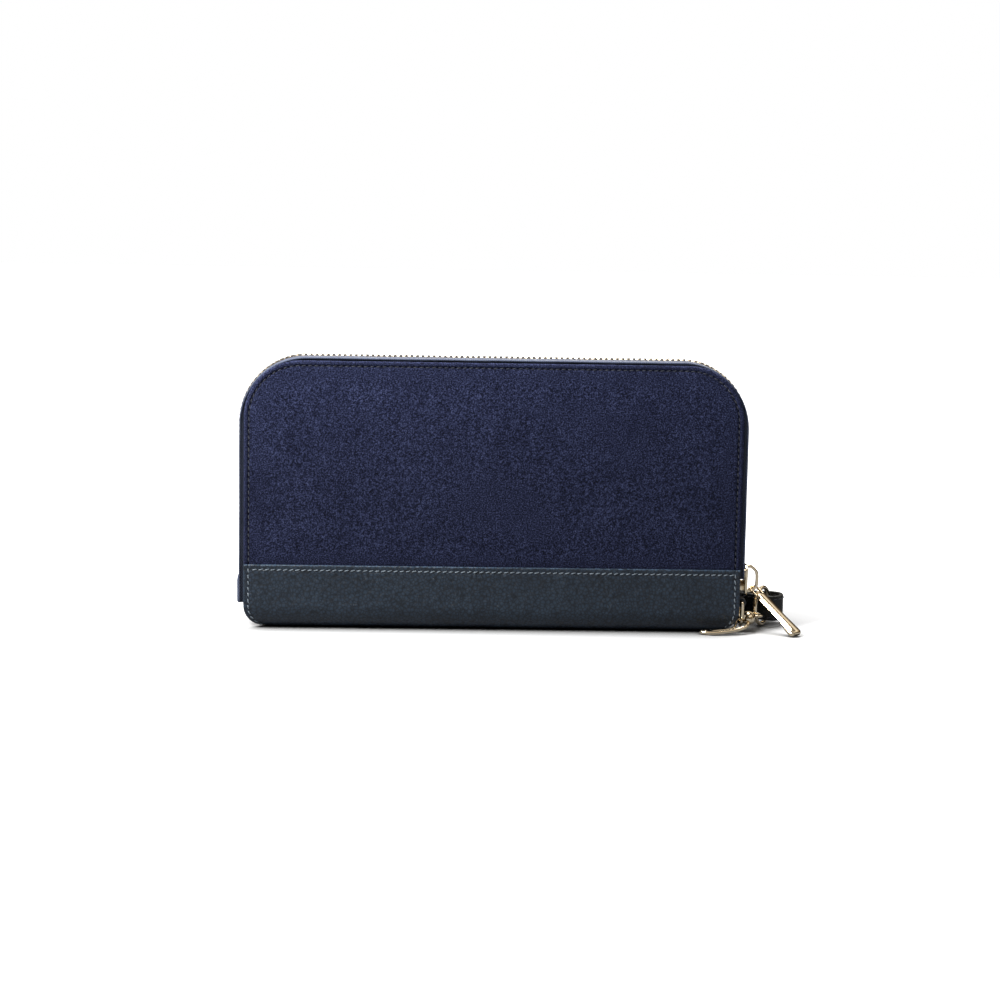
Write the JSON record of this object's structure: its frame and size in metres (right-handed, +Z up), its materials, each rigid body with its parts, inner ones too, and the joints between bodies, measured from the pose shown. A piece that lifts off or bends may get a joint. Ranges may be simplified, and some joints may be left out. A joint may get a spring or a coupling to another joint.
{
  "type": "zip around wallet",
  "caption": "Long zip around wallet with suede covers, a leather spine band, accordion gussets, card slots, a centre coin pocket and a wrist strap on a ring and snap.",
  "frame": {"origin": "middle of the flat underside of the spine, on which the closed wallet stands", "axes": "+X to the slider's side, +Y to the rear cover, +Z up from the spine to the zip"},
  "size_m": [0.2221, 0.0447, 0.1073],
  "materials": {
    "suede": "navy suede with a fine nap",
    "leather": "grained navy leather, semi-matt",
    "strap_leather": "smooth near-black leather",
    "inner_leather": "fine grained navy leather",
    "lining": "navy twill",
    "board": "grey board",
    "tape": "woven herringbone zip tape",
    "metal": "polished pale gold plating"
  },
  "bodies": {
    "rear_half": {"rear_panel": "suede", "rear_board": "board", "rear_lining": "lining", "rear_band": "leather", "spine_leather": "leather", "spine_board": "board", "rear_zip_tape": "tape", "rear_teeth_right": "metal", "rear_teeth_top_left": "metal", "rear_card_backing": "inner_leather", "rear_card_slots": "inner_leather", "left_gusset": "lining", "right_gusset": "lining", "bottom_stop": "metal", "d_ring_tab": "leather"},
    "front_half": {"front_panel": "suede", "front_board": "board", "front_lining": "lining", "front_band": "leather", "front_zip_tape": "tape", "front_teeth_right": "metal", "front_teeth_top_left": "metal", "front_card_backing": "inner_leather", "front_card_slots": "inner_leather"},
    "centre_pocket": {"coin_pocket_front": "lining", "coin_pocket_rear": "lining", "coin_pocket_floor": "lining", "coin_zip_tapes": "tape", "coin_zip_teeth": "metal", "coin_zip_stops": "metal"},
    "slider": {"zip_slider": "metal", "slider_bridge": "metal"},
    "pull": {"zip_pull": "metal"},
    "coin_slider_body": {"coin_slider": "metal"},
    "coin_pull_body": {"coin_pull": "metal"},
    "tab_ring": {"d_ring": "metal"},
    "snap": {"clasp_body": "metal", "gate_pin": "metal", "gate_spring": "metal"},
    "snap_gate": {"clasp_gate_arm": "metal"},
    "swivel": {"swivel_eye": "metal"},
    "round_ring": {"o_ring": "metal"},
    "strap": {"wrist_strap": "strap_leather", "strap_rivet": "metal"}
  },
  "joints": [
    {"name": "cover_open", "type": "hinge", "parent": "rear_half", "child": "front_half", "pos_m": [0, 0, 0.012], "axis": [1, 0, 0], "range_deg": [0, 40], "deforming": ["spine_leather", "left_gusset", "right_gusset"]},
    {"name": "pocket_swing", "type": "hinge", "parent": "rear_half", "child": "centre_pocket", "pos_m": [0, 0, 0.012], "axis": [1, 0, 0], "range_deg": [0, 20]},
    {"name": "zip_slide", "type": "slide", "parent": "rear_half", "child": "slider", "axis": [0, 0, 1], "range_m": [0, 0.045], "deforming": ["front_teeth_right", "rear_teeth_right"]},
    {"name": "zip_pull_hinge", "type": "hinge", "parent": "slider", "child": "pull", "pos_m": [0.1033, 0, 0.0167], "axis": [0.766, 0.6428, 0], "range_deg": [-60, 0]},
    {"name": "tab_ring_swing", "type": "hinge", "parent": "rear_half", "child": "tab_ring", "pos_m": [0.0989, -0.0047, 0.0116], "axis": [0, 1, 0], "range_deg": [-10, 0]},
    {"name": "snap_level", "type": "hinge", "parent": "tab_ring", "child": "snap", "pos_m": [0.0989, -0.0082, 0.0041], "axis": [0, 1, 0], "range_deg": [0, 10]},
    {"name": "snap_gate_open", "type": "hinge", "parent": "snap", "child": "snap_gate", "pos_m": [0.1004, -0.0059, 0.0059], "axis": [0, 0, 1], "range_deg": [0, 5], "stiffness_Nm_per_rad": 0.0005},
    {"name": "swivel_turn", "type": "hinge", "parent": "snap", "child": "swivel", "pos_m": [0.102, -0.0052, 0.0052], "axis": [0.5, 0.866, 0], "range_deg": [-3, 3]},
    {"name": "ring_turn", "type": "hinge", "parent": "snap", "child": "round_ring", "pos_m": [0.1057, 0.00121, 0.0052], "axis": [0, 0, 1], "range_deg": [-6, 0]},
    {"name": "strap_swing", "type": "hinge", "parent": "round_ring", "child": "strap", "pos_m": [0.11268, 0.01329, 0.0082], "axis": [0, 0, 1], "range_deg": [-15, 0]},
    {"name": "coin_zip_slide", "type": "slide", "parent": "centre_pocket", "child": "coin_slider_body", "axis": [1, 0, 0], "range_m": [0, 0.148], "deforming": ["coin_zip_teeth"]},
    {"name": "coin_pull_hinge", "type": "hinge", "parent": "coin_slider_body", "child": "coin_pull_body", "pos_m": [-0.0743, 0, 0.09815], "axis": [0, 1, 0], "range_deg": [-24, 0]}
  ],
  "couplings": [
    {"joint": "pocket_swing", "follows": "cover_open", "ratio": 0.5},
    {"joint": "snap_level", "follows": "tab_ring_swing", "ratio": -1}
  ]
}
